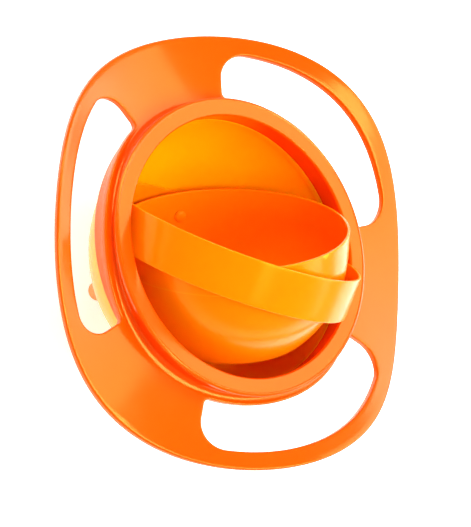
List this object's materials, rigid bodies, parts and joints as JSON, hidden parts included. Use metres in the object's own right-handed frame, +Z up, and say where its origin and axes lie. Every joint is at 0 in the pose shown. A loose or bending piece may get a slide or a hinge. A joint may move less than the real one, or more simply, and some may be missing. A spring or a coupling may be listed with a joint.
{
  "type": "self-levelling baby bowl",
  "caption": "Self-levelling baby bowl: the bowl swings in a ring, and the ring swings in a round shell with wavy grip handles and a domed back on short feet.",
  "frame": {"origin": "on the table under the feet, on the shell's axis", "axes": "+Z up the shell's axis towards its opening, +X along the ring's pivot line through the middle of the first handle"},
  "size_m": [0.215, 0.215, 0.1289],
  "materials": {
    "orange_plastic": "glossy moulded",
    "yellow_plastic": "glossy moulded",
    "foot_plastic": "satin moulded"
  },
  "bodies": {
    "shell": {"handle_shell": "orange_plastic", "back_dome": "yellow_plastic", "foot_1": "foot_plastic", "foot_2": "foot_plastic", "foot_3": "foot_plastic"},
    "ring": {"gimbal_ring": "yellow_plastic", "ring_pin_1": "orange_plastic", "ring_pin_2": "orange_plastic", "bowl_pin_1": "yellow_plastic", "bowl_pin_2": "yellow_plastic"},
    "bowl": {"bowl": "yellow_plastic"}
  },
  "joints": [
    {"name": "ring_turn", "type": "hinge", "parent": "shell", "child": "ring", "pos_m": [0, 0, 0.0696], "axis": [1, 0, 0], "continuous": true},
    {"name": "bowl_turn", "type": "hinge", "parent": "ring", "child": "bowl", "pos_m": [0, 0, 0.0696], "axis": [0, 0.5277, 0.8494], "continuous": true}
  ]
}
